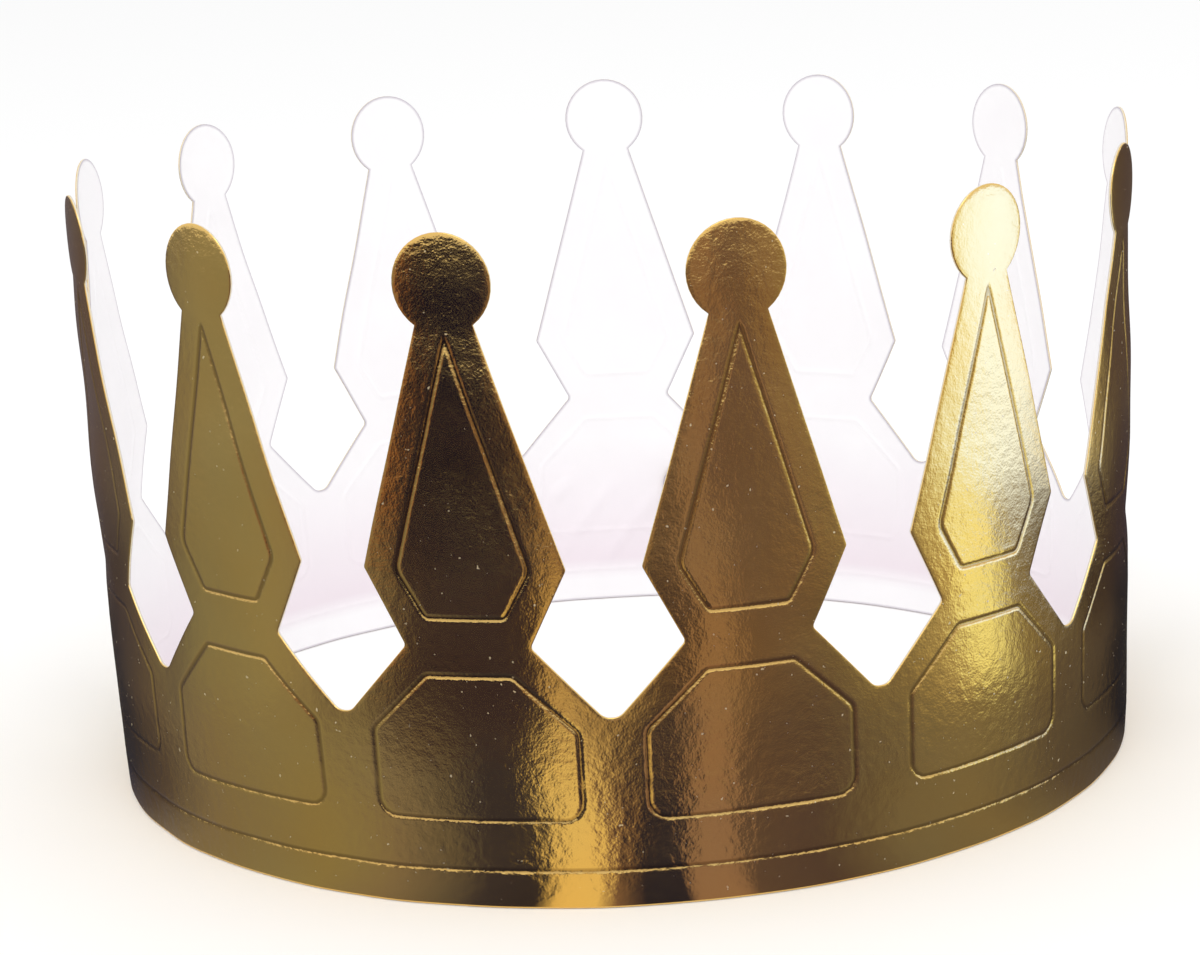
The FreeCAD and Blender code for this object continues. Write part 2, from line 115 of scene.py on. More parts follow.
# How near places count as one place, as one level or as lying on a line.
JUST_ABOVE = 1e-3
SAME_PLACE = 1e-4
SAME_LEVEL = 1e-6
ON_LINE = 1e-2
WELD_METRES = 1e-5
SHARP_ANGLE = math.radians(50)

# The card's edges: the die turns the foil over, and bends the card a little with it.
FOIL_ROUND = 0.15
PAPER_ROUND = 0.08
BEND_DEPTH = 0.16
BEND_REACH = 2.3

# Soft folds in the back wall that run from the join: (turn in degrees, level) of both ends.
FOLDS = np.array([
    [(203.4, 22.6), (200.6, 27.2)],
    [(202.4, 11.0), (194.6, 27.2)],
    [(197.2, 7.8), (188.7, 24.8)],
])
FOLD_HEIGHT = 0.42
FOLD_HALF = 2.3
FOLD_FIELD = ((-9.5, 18.5), (7.5, 29.0))
FOLD_SPACING = 1.0
FOLD_ROOM = 1.7

# The join at the back. Lengths run along the strip past its outer end.
LAYER_DROP = 1.0
STEP_START = 1.4
STEP_END = 4.0
STEP_ROWS = 5
STEP_LEVELS = np.linspace(1.3, 32.2, 24)
TONGUE_LENGTH = 14.0
TONGUE_LEVELS = (3.5, 29.5)
TONGUE_ROUND = 4.0
TAB_LEVEL = 19.0
TAB_NECK_HALF = 6.0
TAB_LEVELS = (TAB_LEVEL - TAB_NECK_HALF, TAB_LEVEL + TAB_NECK_HALF)
TAB_HEAD_HALF = 9.0
TAB_TIP_HALF = 5.0
TAB_HEAD_START = 4.6
TAB_HEAD_END = 15.6
TAB_TIP_END = 19.1
RELIEF_FADE = 1.0
SLOT_CLEARANCE = 0.3
CELL_BEFORE_JOIN = 6
CELL_AFTER_JOIN = 7


# The flat pattern
def gold_radius(level):
    """Radius of the gold side at a level."""
    return HEM_RADIUS + FLARE * level


def cell_side(level):
    """Distance from a point's middle to the next valley's middle, seen square to the point."""
    return gold_radius(level) * math.sin(PITCH / 2)


VALLEY_SIDE = cell_side(VALLEY_LEVEL) - VALLEY_HALF
SIDE_LEVELS = np.unique(np.round(np.concatenate([
    EDGE_ROWS, HEM_LINE_LEVEL + np.array(LINE_ROWS),
    np.linspace(BAND_START, TAB_LEVELS[0], 3), np.linspace(*TAB_LEVELS, 7),
    np.linspace(TAB_LEVELS[1], BAND_END, 3), TONGUE_LEVELS, VALLEY_LEVEL - np.array(EDGE_ROWS),
]), 4))


def stretched(start, end, spacing):
    """Evenly spaced places from one corner up to the next, without the last."""
    start, end = np.asarray(start, float), np.asarray(end, float)
    steps = max(1, round(float(np.linalg.norm(end - start)) / spacing))
    return start + (end - start) * np.arange(steps)[:, None] / steps


def shifted_corners(corners, shifts):
    """Corners of an anticlockwise outline after each edge has moved to its left by its own shift.

    A new corner p solves n1.p = n1.c + s1 and n2.p = n2.c + s2, with the normals n1 and n2
    of the edges that meet at the old corner c."""
    ahead = np.roll(corners, -1, axis=0) - corners
    ahead = ahead / np.linalg.norm(ahead, axis=1)[:, None]
    normal = np.column_stack([-ahead[:, 1], ahead[:, 0]])
    before = np.roll(normal, 1, axis=0)
    walls = np.stack([before, normal], axis=1)
    sums = (walls * corners[:, None, :]).sum(axis=2)
    sums += np.column_stack([np.roll(shifts, 1), shifts])
    return np.linalg.solve(walls, sums[:, :, None])[:, :, 0]


def rounded(before, corner, after, radius):
    """Arc of a radius that rounds a corner, as places along it."""
    back = (before - corner) / np.linalg.norm(before - corner)
    ahead = (after - corner) / np.linalg.norm(after - corner)
    half = math.acos(float(np.clip(back @ ahead, -1, 1))) / 2
    middle = back + ahead
    centre = corner + middle / np.linalg.norm(middle) * radius / math.sin(half)
    first = corner + back * radius / math.tan(half) - centre
    last = corner + ahead * radius / math.tan(half) - centre
    share = np.linspace(0, 1, CORNER_STEPS)[:, None]
    arc = first * (1 - share) + last * share
    return centre + arc / np.linalg.norm(arc, axis=1)[:, None] * radius


def pressed_outline(corners, rounds, shift):
    """A pressed line's closed outline moved inward by a shift, sampled along its length."""
    moved = shifted_corners(corners, np.full(len(corners), shift))
    stops = []
    for number, (corner, radius) in enumerate(zip(moved, rounds)):
        if radius:
            after = moved[(number + 1) % len(moved)]
            stops.append(rounded(moved[number - 1], corner, after, max(radius - shift, SMALLEST_ROUND)))
        else:
            stops.append(corner[None, :])
    rows = []
    for number, stop in enumerate(stops):
        follower = stops[(number + 1) % len(stops)][0]
        rows.append(stop[:-1])
        rows.append(stretched(stop[-1], follower, LINE_SPACING))
    return np.concatenate(rows)


def half_silhouette(inset):
    """Right half of a point's cut edge moved inward, from the valley's middle to the top of the ball."""
    corners = np.array([
        (cell_side(VALLEY_LEVEL), VALLEY_LEVEL), (VALLEY_SIDE, VALLEY_LEVEL), (WAIST_HALF, WAIST_LEVEL),
        (CORNER_HALF, CORNER_LEVEL), (NECK_HALF, NECK_LEVEL), (-CORNER_HALF, NECK_LEVEL),
        (-CORNER_HALF, 0), (cell_side(VALLEY_LEVEL), 0),
    ])
    shifts = np.array([inset, inset, inset, inset, 0, 0, 0, 0])
    moved = shifted_corners(corners, shifts)
    valley, shoulder, waist, corner, neck = moved[:5]
    valley[0] = cell_side(valley[1])
    radius = BALL_RADIUS - inset
    centre = np.array([0, BALL_LEVEL])
    rise = (neck - corner) / np.linalg.norm(neck - corner)
    along = float((centre - corner) @ rise)
    off = float(np.linalg.norm(centre - corner - along * rise))
    neck = corner + rise * (along - math.sqrt(radius ** 2 - off ** 2))
    start = math.atan2(neck[1] - BALL_LEVEL, neck[0])
    turns = np.linspace(start, math.pi / 2, BALL_STEPS)
    ball = centre + radius * np.column_stack([np.cos(turns), np.sin(turns)])
    shoulder_arc = rounded(valley, shoulder, waist, VALLEY_ROUND + inset)
    waist_arc = rounded(shoulder, waist, corner, WAIST_ROUND + inset)
    corner_arc = rounded(waist, corner, neck, max(CORNER_ROUND - inset, SMALLEST_ROUND))
    return np.concatenate([
        stretched(valley, shoulder_arc[0], EDGE_SPACING), shoulder_arc[:-1],
        stretched(shoulder_arc[-1], waist_arc[0], EDGE_SPACING), waist_arc[:-1],
        stretched(waist_arc[-1], corner_arc[0], EDGE_SPACING), corner_arc[:-1],
        stretched(corner_arc[-1], neck, EDGE_SPACING), ball,
    ])


def silhouette(inset):
    """A point's cut edge moved inward, from valley to valley."""
    right = half_silhouette(inset)
    return np.concatenate([right, right[-2::-1] * (-1, 1)])


def half_width(level):
    """Half of a point's width at a level, as whole arrays."""
    levels = (0, VALLEY_LEVEL, VALLEY_LEVEL + JUST_ABOVE, WAIST_LEVEL, CORNER_LEVEL, NECK_LEVEL)
    halves = (cell_side(0), cell_side(VALLEY_LEVEL), VALLEY_SIDE, WAIST_HALF, CORNER_HALF, NECK_HALF)
    flat = np.interp(level, levels, halves)
    round_half = np.sqrt(np.maximum(BALL_RADIUS ** 2 - (level - BALL_LEVEL) ** 2, 0))
    return np.where(level > NECK_LEVEL, round_half, flat)


def distance_to(places, chain, closed):
    """Distance from each place to the nearest stretch of a chain of places."""
    start = chain if closed else chain[:-1]
    end = np.roll(chain, -1, axis=0) if closed else chain[1:]
    run = end - start
    offset = places[:, None, :] - start[None, :, :]
    share = np.clip((offset * run).sum(axis=2) / (run ** 2).sum(axis=1), 0, 1)
    return np.linalg.norm(offset - share[:, :, None] * run, axis=2).min(axis=1)


def field_places(lowest, highest, half, spacing):
    """Staggered rows of places that fill a rectangle."""
    levels = np.arange(lowest, highest, spacing * math.sqrt(3) / 2)
    across = np.arange(-half, half, spacing)
    grid_x, grid_z = np.meshgrid(across, levels)
    grid_x = grid_x + (np.arange(len(levels)) % 2)[:, None] * spacing / 2
    return np.column_stack([grid_x.ravel(), grid_z.ravel()])


def triangulated(chains, loops, loose):
    """Places and triangles of a flat pattern with its chains and loops as edges."""
    places = []
    edges = []
    for chain in chains:
        first = len(places)
        places += list(map(Vector, chain))
        edges += [(number, number + 1) for number in range(first, len(places) - 1)]
    for loop in loops:
        first = len(places)
        places += list(map(Vector, loop))
        edges += [(number, number + 1) for number in range(first, len(places) - 1)]
        edges.append((len(places) - 1, first))
    places += list(map(Vector, loose))
    keep_inside = 1
    result = delaunay_2d_cdt(places, edges, [], keep_inside, SAME_PLACE)
    return np.array([tuple(place) for place in result[0]]), np.array(result[2])


def level_row(level, steps):
    """Places from side to side of a cell at a level."""
    return np.column_stack([np.linspace(-1, 1, steps) * cell_side(level), np.full(steps, level)])


def to_pressed_lines(places):
    """Distance from each place to the nearest kite or panel line."""
    distances = [distance_to(places, pressed_outline(*line, 0.0), True) for line in PRESSED_LINES]
    return np.min(distances, axis=0)


def loose_places(folded):
    """Places in the open field of a cell, closer together where the card is folded."""
    loose = field_places(*FIELD_LEVELS, FIELD_HALF, FIELD_SPACING)
    room = LINE_ROOM
    if folded:
        (left, right), (low, high) = FOLD_FIELD
        fine = field_places(low, high, right, FOLD_SPACING)
        fine = fine[fine[:, 0] > left]
        across, level = loose.T
        beside = (across < left) | (across > right) | (level < low) | (level > high)
        loose = np.concatenate([loose[beside], fine])
        room = FOLD_ROOM
    across, level = loose.T
    clear = np.abs(across) < half_width(level) - SIDE_ROOM
    clear &= to_pressed_lines(loose) > room
    clear &= np.abs(level - HEM_LINE_LEVEL) > room
    clear &= distance_to(loose, silhouette(0.0), False) > CUT_ROOM
    return loose[clear]


def cell_pattern(slotted, folded):
    """Flat pattern of one point with its stretch of band: places and triangles."""
    chains = []
    for inset in EDGE_ROWS[:CUT_ROWS]:
        chains += [silhouette(inset), level_row(inset, HEM_STEPS)]
    chains += [level_row(HEM_LINE_LEVEL + shift, HEM_LINE_STEPS) for shift in LINE_ROWS]
    chains += [np.column_stack([side * cell_side(SIDE_LEVELS), SIDE_LEVELS]) for side in (-1, 1)]
    loops = [pressed_outline(*line, shift) for shift in LINE_ROWS for line in PRESSED_LINES]
    loose = loose_places(folded)
    if not slotted:
        return triangulated(chains, loops, loose)
    slot = slot_outline()
    lengths = np.linspace(STEP_START, STEP_END, STEP_ROWS)
    step = np.concatenate([join_place(length, STEP_LEVELS) for length in lengths])
    step = step[distance_to(step, slot, True) > SLOT_ROOM]
    places, triangles = triangulated(chains, loops + [slot], np.concatenate([loose, step]))
    middles = places[triangles].mean(axis=1)
    in_slot = ((middles > slot.min(axis=0)) & (middles < slot.max(axis=0))).all(axis=1)
    return places, triangles[~in_slot]


def join_place(length, level):
    """Where a length past the outer end and its levels lie on the pattern of the cell before the join."""
    turn = PITCH / 2 - np.arcsin(length / HEM_RADIUS)
    return np.column_stack([gold_radius(level) * np.sin(turn), level])


def slot_outline():
    """The slot in the step, on the pattern of the cell before the join."""
    levels = np.array(TAB_LEVELS) + (-SLOT_CLEARANCE, SLOT_CLEARANCE)
    near = join_place(STEP_START - SLOT_CLEARANCE, levels)
    far = join_place(STEP_END + SLOT_CLEARANCE, levels)
    corners = (far[0], near[0], near[1], far[1])
    sides = zip(corners, corners[1:] + corners[:1])
    return np.concatenate([stretched(start, end, EDGE_SPACING) for start, end in sides])


# Relief
CUT_MARK = 0.35


def bump_across(distance, half):
    """A smooth hump, one in the middle and nothing beyond its half width: (1 + cos(pi d / half)) / 2."""
    return np.where(distance < half, 0.5 + 0.5 * np.cos(np.pi * distance / half), 0)


def roll_over(distance, radius):
    """Drop of a rolled edge at a distance from the cut: radius - sqrt(radius^2 - (radius - d)^2)."""
    inward = np.clip(radius - distance, 0, radius)
    return radius - np.sqrt(radius ** 2 - inward ** 2)


def card_relief(places):
    """Depths of the gold and the white side, and marks near a pressed line and near the cut."""
    nick = np.linalg.norm(places[:, None, :] - NICKS, axis=2).min(axis=1)
    pressed = 1 - NICK_SHARE * bump_across(nick, NICK_HALF)
    line = np.minimum(to_pressed_lines(places), np.abs(places[:, 1] - HEM_LINE_LEVEL))
    groove = GROOVE_DEPTH * pressed * bump_across(line, GROOVE_HALF)
    ridge = RIDGE_HEIGHT * pressed * bump_across(line, RIDGE_HALF)
    lip = LIP_HEIGHT * np.exp(-((line - LIP_PLACE) / LIP_SPREAD) ** 2)
    cut = np.minimum(distance_to(places, silhouette(0.0), False), places[:, 1])
    bend = BEND_DEPTH * np.exp(-cut / BEND_REACH)
    gold = bend + groove - lip + roll_over(cut, FOIL_ROUND)
    white = bend + CARD + ridge - roll_over(cut, PAPER_ROUND)
    # The two marks below steer painted shade alone: near_line darkens the foil along the pressed lines,
    # near_cut greys the white side along the cut.
    near_line = np.exp(-(line / GROOVE_HALF) ** 2)
    near_cut = np.exp(-cut / CUT_MARK)
    return gold, white, near_line, near_cut


# Long low waves of the card, and how far each point leans and twists at its neck.
WAVE_COUNT = 26
SHORTEST_WAVE, LONGEST_WAVE = 13, 42
WAVE_STEEPNESS = 0.0009
MOST_LEAN = 0.5
MOST_TWIST = 0.35
LEAN_CURVE = 1.5
waves = np.random.default_rng(WAVE_SEED)
WAVE_LENGTH = waves.uniform(SHORTEST_WAVE, LONGEST_WAVE, WAVE_COUNT)
WAVE_TURN = waves.uniform(0, 2 * math.pi, WAVE_COUNT)
WAVE_START = waves.uniform(0, 2 * math.pi, WAVE_COUNT)
WAVE_HEIGHT = WAVE_STEEPNESS * WAVE_LENGTH
# Whole waves round the ring, so that the card meets itself.
WAVES_ROUND = np.round(2 * math.pi * HEM_RADIUS / WAVE_LENGTH * np.cos(WAVE_TURN))
WAVES_UP = 2 * math.pi / WAVE_LENGTH * np.sin(WAVE_TURN)
POINT_LEAN = waves.uniform(-MOST_LEAN, MOST_LEAN, POINTS)
POINT_TWIST = waves.uniform(-MOST_TWIST, MOST_TWIST, POINTS)


def unevenness(cell, turn, level):
    """How far the card stands out of its cone: a sum of long low waves, sin(n turn + m level + start),
    above the valleys each point's own lean and twist, and the folds beside the join."""
    phase = turn[:, None] * WAVES_ROUND + level[:, None] * WAVES_UP + WAVE_START
    ripple = (WAVE_HEIGHT * np.sin(phase)).sum(axis=1)
    rise = np.clip((level - VALLEY_LEVEL) / (NECK_LEVEL - VALLEY_LEVEL), 0, None) ** LEAN_CURVE
    side = (turn - cell * PITCH) * HEM_RADIUS / CORNER_HALF
    places = np.column_stack([turn * HEM_RADIUS, level])
    fold = 0
    for start, end in FOLDS * (math.radians(HEM_RADIUS), 1):
        run = end - start
        share = np.clip((places - start) @ run / (run @ run), 0, 1)
        off = np.linalg.norm(places - start - share[:, None] * run, axis=1)
        fold += FOLD_HEIGHT * np.sin(math.pi * share) ** 0.5 * bump_across(off, FOLD_HALF)
    return ripple + rise * (POINT_LEAN[cell] + POINT_TWIST[cell] * side) - fold


# The card in space
def in_space(turn, level, depth):
    """Place of a turn from -Y towards +X, a level and a depth inside the gold side's cone."""
    radius = gold_radius(level) - depth
    return MM * np.column_stack([radius * np.sin(turn), -radius * np.cos(turn), level])


def open_edges(triangles):
    """Edges that only one triangle has, in that triangle's direction."""
    edges = np.concatenate([triangles[:, [0, 1]], triangles[:, [1, 2]], triangles[:, [2, 0]]])
    known = {tuple(edge) for edge in edges.tolist()}
    return np.array([edge for edge in edges.tolist() if (edge[1], edge[0]) not in known])


class Card:
    """Gathers patches of card until they become one mesh."""

    def __init__(self):
        self.vertices = []
        self.faces = []
        self.slots = []
        self.line_marks = []
        self.cut_marks = []
        self.count = 0

    def add(self, vertices, faces, slots, line_marks, cut_marks):
        """Adds vertices, and faces that count from the first of them."""
        self.faces += [tuple(corner + self.count for corner in face) for face in faces]
        self.slots.append(slots)
        self.vertices.append(vertices)
        self.line_marks.append(line_marks)
        self.cut_marks.append(cut_marks)
        self.count += len(vertices)


GOLD_SLOT, WHITE_SLOT, EDGE_SLOT = 0, 1, 2


def add_patch(card, triangles, rim, gold, white, near_line, near_cut):
    """Adds a patch's gold side, its white side facing the other way, and the cut face between them."""
    count = len(gold)
    fronts = triangles.tolist()
    backs = (triangles[:, ::-1] + count).tolist()
    cuts = [(b, a, a + count, b + count) for a, b in rim]
    slots = np.repeat([GOLD_SLOT, WHITE_SLOT, EDGE_SLOT], [len(fronts), len(backs), len(cuts)])
    card.add(
        np.concatenate([gold, white]), fronts + backs + cuts, slots,
        np.tile(near_line, 2), np.tile(near_cut, 2),
    )


def step_drop(length):
    """Share of the drop to the inner layer: nothing before the step, one past it, smooth between."""
    share = np.clip((STEP_END - length) / (STEP_END - STEP_START), 0, 1)
    return share * share * (3 - 2 * share)


def between(values, low, high):
    """Which values lie between two others."""
    return (values > low) & (values < high)


def add_cell(card, cell, pattern, relief):
    """Adds one point of the crown with its stretch of band."""
    places, triangles = pattern
    gold_depth, white_depth, near_line, near_cut = relief
    turn = cell * PITCH + np.arcsin(places[:, 0] / gold_radius(places[:, 1]))
    level = places[:, 1]
    out = unevenness(cell, turn, level)
    drop = 0
    if cell == CELL_BEFORE_JOIN:
        drop = LAYER_DROP * step_drop(HEM_RADIUS * np.sin(math.pi - turn))
    edges = open_edges(triangles)
    across, height = places[edges].mean(axis=1).T
    welded = np.abs(np.abs(across) - cell_side(height)) < ON_LINE
    if cell == CELL_BEFORE_JOIN:
        welded &= (across < 0) | between(height, *TONGUE_LEVELS)
    if cell == CELL_AFTER_JOIN:
        welded &= (across > 0) | between(height, *TAB_LEVELS)
    gold = in_space(turn, level, gold_depth + drop - out)
    white = in_space(turn, level, white_depth + drop - out)
    add_patch(card, triangles, edges[~welded], gold, white, near_line, near_cut)


def add_end(card, outline, drop_of, cell):
    """Adds a flat end of the strip drawn by lengths past the outer end and levels."""
    low, high = outline.min(axis=0), outline.max(axis=0)
    reach = np.abs(outline[:, 0]).max()
    loose = field_places(low[1] + END_MARGIN, high[1] - END_MARGIN, reach, END_SPACING)
    inside = ((loose > low) & (loose < high)).all(axis=1)
    inside &= distance_to(loose, outline, True) > END_ROOM
    places, triangles = triangulated([], [outline], loose[inside])
    length, level = places.T
    turn = math.pi - np.arcsin(length / HEM_RADIUS)
    out = unevenness(cell, turn, level)
    edges = open_edges(triangles)
    rim = edges[np.abs(length[edges].mean(axis=1)) > ON_LINE]
    # Lengths grow against the turn, so the triangles are read backwards.
    triangles = triangles[:, ::-1]
    rim = rim[:, ::-1]
    drop = LAYER_DROP * drop_of(length)
    # The pressed lines and the bent edge of the band run out soon after the weld.
    fade = np.clip(1 - np.abs(length) / RELIEF_FADE, 0, 1)
    beside_weld = np.column_stack([cell_side(level), level])
    gold_depth, white_depth, near_line, near_cut = card_relief(beside_weld)
    gold = in_space(turn, level, drop + gold_depth * fade - out)
    white = in_space(turn, level, drop + CARD + (white_depth - CARD) * fade - out)
    cut = distance_to(places, outline, True)
    cut_mark = np.where(fade > 0, near_cut, np.exp(-cut / CUT_MARK))
    add_patch(card, triangles, rim, gold, white, near_line * fade, cut_mark)


def weld_row(low, high):
    """Places up the weld from one level to another, at the band's side levels."""
    levels = SIDE_LEVELS[between(SIDE_LEVELS, low - SAME_LEVEL, high + SAME_LEVEL)]
    return np.column_stack([np.zeros(len(levels)), levels])


def tongue_outline():
    """The inner end: from the cell before the join to its rounded tip, anticlockwise."""
    low, high = TONGUE_LEVELS
    root_low, root_high, tip_high, tip_low = np.array([
        (0, low), (0, high), (-TONGUE_LENGTH, high), (-TONGUE_LENGTH, low),
    ])
    top_arc = rounded(root_high, tip_high, tip_low, TONGUE_ROUND)
    foot_arc = rounded(tip_high, tip_low, root_low, TONGUE_ROUND)
    return np.concatenate([
        weld_row(low, high)[:-1],
        stretched(root_high, top_arc[0], EDGE_SPACING), top_arc[:-1],
        stretched(top_arc[-1], foot_arc[0], EDGE_SPACING), foot_arc[:-1],
        stretched(foot_arc[-1], root_low, EDGE_SPACING),
    ])


def tab_outline():
    """The outer end's tab: a neck through the slot, a wider head and a narrowing tip, anticlockwise."""
    upper = np.array([
        (0, TAB_NECK_HALF), (TAB_HEAD_START, TAB_NECK_HALF), (TAB_HEAD_START, TAB_HEAD_HALF),
        (TAB_HEAD_END, TAB_HEAD_HALF), (TAB_TIP_END, TAB_TIP_HALF),
    ])
    corners = np.concatenate([upper * (1, -1), upper[::-1]]) + (0, TAB_LEVEL)
    runs = [stretched(start, end, TAB_SPACING) for start, end in zip(corners, corners[1:])]
    return np.concatenate(runs + [weld_row(*TAB_LEVELS)[:0:-1]])


def crown_mesh():
    """The whole card as one closed mesh."""
    card = Card()
    patterns = {}
    for cell in range(POINTS):
        kind = (cell == CELL_BEFORE_JOIN, cell == CELL_AFTER_JOIN)
        if kind not in patterns:
            pattern = cell_pattern(*kind)
            patterns[kind] = (pattern, card_relief(pattern[0]))
        add_cell(card, cell, *patterns[kind])
    add_end(card, tongue_outline(), np.ones_like, CELL_BEFORE_JOIN)
    add_end(card, tab_outline(), lambda length: 1 - step_drop(length), CELL_AFTER_JOIN)
    mesh = bpy.data.meshes.new("crown_card")
    mesh.from_pydata(np.concatenate(card.vertices), [], card.faces)
    mesh.polygons.foreach_set("material_index", np.concatenate(card.slots).astype(np.int32))
    for name, marks in (("near_line", card.line_marks), ("near_cut", card.cut_marks)):
        layer = mesh.attributes.new(name, "FLOAT", "POINT")
        layer.data.foreach_set("value", np.concatenate(marks).astype(np.float32))
    weld = bmesh.new()
    weld.from_mesh(mesh)
    bmesh.ops.remove_doubles(weld, verts=weld.verts, dist=WELD_METRES)
    weld.to_mesh(mesh)
    weld.free()
    mesh.shade_smooth()
    mesh.set_sharp_from_angle(angle=SHARP_ANGLE)
    return mesh


# Materials
def new_material(name):
    """An empty material with its shader and output."""
    material = bpy.data.materials.new(name)
    material.use_nodes = True
    nodes = material.node_tree.nodes
    nodes.clear()
    output = nodes.new("ShaderNodeOutputMaterial")
    shader = nodes.new("ShaderNodeBsdfPrincipled")
    material.node_tree.links.new(shader.outputs["BSDF"], output.inputs["Surface"])
    return material, nodes, material.node_tree.links, shader


def noise_at(nodes, links, place, scale, detail, roughness=0.5):
    """A noise pattern of a scale in cycles per metre."""
    noise = nodes.new("ShaderNodeTexNoise")
    noise.inputs["Scale"].default_value = scale
    noise.inputs["Detail"].default_value = detail
    noise.inputs["Roughness"].default_value = roughness
    links.new(place, noise.inputs["Vector"])
    return noise.outputs["Fac"]


def ranged(nodes, links, value, low, high, to_low=0, to_high=1):
    """A value carried from one range to another, held at its ends."""
    node = nodes.new("ShaderNodeMapRange")
    numbers = {"From Min": low, "From Max": high, "To Min": to_low, "To Max": to_high}
    for socket, number in numbers.items():
        node.inputs[socket].default_value = number
    links.new(value, node.inputs["Value"])
    return node.outputs["Result"]


def calculated(nodes, links, operation, first, second):
    """What an operation makes of two values. The second may be a plain number."""
    node = nodes.new("ShaderNodeMath")
    node.operation = operation
    links.new(first, node.inputs[0])
    if isinstance(second, (int, float)):
        node.inputs[1].default_value = second
    else:
        links.new(second, node.inputs[1])
    return node.outputs[0]


def split_up(nodes, links, place):
    """The X, Y and Z of a place."""
    node = nodes.new("ShaderNodeSeparateXYZ")
    links.new(place, node.inputs["Vector"])
    return node.outputs


def mixed(nodes, links, share, first, second):
    """A colour between two, by a share."""
    node = nodes.new("ShaderNodeMix")
    node.data_type = "RGBA"
    for socket, colour in ((node.inputs[6], first), (node.inputs[7], second)):
        if isinstance(colour, tuple):
            socket.default_value = (*colour, 1)
        else:
            links.new(colour, socket)
    links.new(share, node.inputs[0])
    return node.outputs[2]


def bumped(nodes, links, height, distance, strength, before=None):
    """A normal that follows a height pattern, on top of another."""
    node = nodes.new("ShaderNodeBump")
    node.inputs["Distance"].default_value = distance
    node.inputs["Strength"].default_value = strength
    links.new(height, node.inputs["Height"])
    if before is not None:
        links.new(before, node.inputs["Normal"])
    return node.outputs["Normal"]


def marked(nodes, name):
    """One of the mesh's own marks."""
    node = nodes.new("ShaderNodeAttribute")
    node.attribute_name = name
    return node.outputs["Fac"]


# Colours of the foil, the paper and the cut face, and the painted shade along the pressed lines, low on
# the band inside and along the cut edges.
WARM_GOLD = (0.82, 0.51, 0.15)
GREENISH_GOLD = (0.78, 0.54, 0.19)
SPECK_GOLD = (0.98, 0.90, 0.66)
PAINTED_LINE_SHADE = (0.22, 0.12, 0.04)
DULL_WHITE = (0.93, 0.915, 0.925)
CLEAN_WHITE = (0.955, 0.945, 0.95)
PAINTED_BAND_SHADE = (0.86, 0.78, 0.825)
PAINTED_CUT_SHADE = (0.38, 0.33, 0.40)
CUT_BROWN = (0.62, 0.52, 0.34)
CUT_CREAM = (0.80, 0.74, 0.60)


def gold_foil():
    """Gold foil on card: a leathery peel, stronger near the hem, a fine grain, a few specks and painted
    shade along the pressed lines.
    """
    material, nodes, links, shader = new_material("gold_foil")
    place = nodes.new("ShaderNodeTexCoord").outputs["Object"]
    cloud = noise_at(nodes, links, place, scale=28, detail=3)
    tint = ranged(nodes, links, cloud, low=0.3, high=0.7)
    colour = mixed(nodes, links, tint, WARM_GOLD, GREENISH_GOLD)
    dots = noise_at(nodes, links, place, scale=1150, detail=1)
    specks = ranged(nodes, links, dots, low=0.75, high=0.80, to_high=0.7)
    colour = mixed(nodes, links, specks, colour, SPECK_GOLD)
    # Painted shade: the foil's colour is darkened towards brown along the pressed lines.
    pressed = ranged(nodes, links, marked(nodes, "near_line"), low=0.35, high=1.0, to_high=0.6)
    colour = mixed(nodes, links, pressed, colour, PAINTED_LINE_SHADE)
    links.new(colour, shader.inputs["Base Color"])
    shader.inputs["Metallic"].default_value = 1.0
    smears = noise_at(nodes, links, place, scale=55, detail=4, roughness=0.6)
    dull = ranged(nodes, links, smears, low=0.3, high=0.7, to_low=0.13, to_high=0.2)
    rough = calculated(nodes, links, "MAXIMUM", dull, specks)
    links.new(rough, shader.inputs["Roughness"])
    height = split_up(nodes, links, place)["Z"]
    near_hem = ranged(nodes, links, height, low=0.002, high=0.030, to_low=2.6, to_high=1.0)
    blobs = noise_at(nodes, links, place, scale=560, detail=2)
    peel = calculated(nodes, links, "MULTIPLY", blobs, near_hem)
    grain = noise_at(nodes, links, place, scale=2600, detail=1)
    normal = bumped(nodes, links, peel, distance=0.000075, strength=1.0)
    normal = bumped(nodes, links, grain, distance=0.000027, strength=1.0, before=normal)
    links.new(normal, shader.inputs["Normal"])
    return material


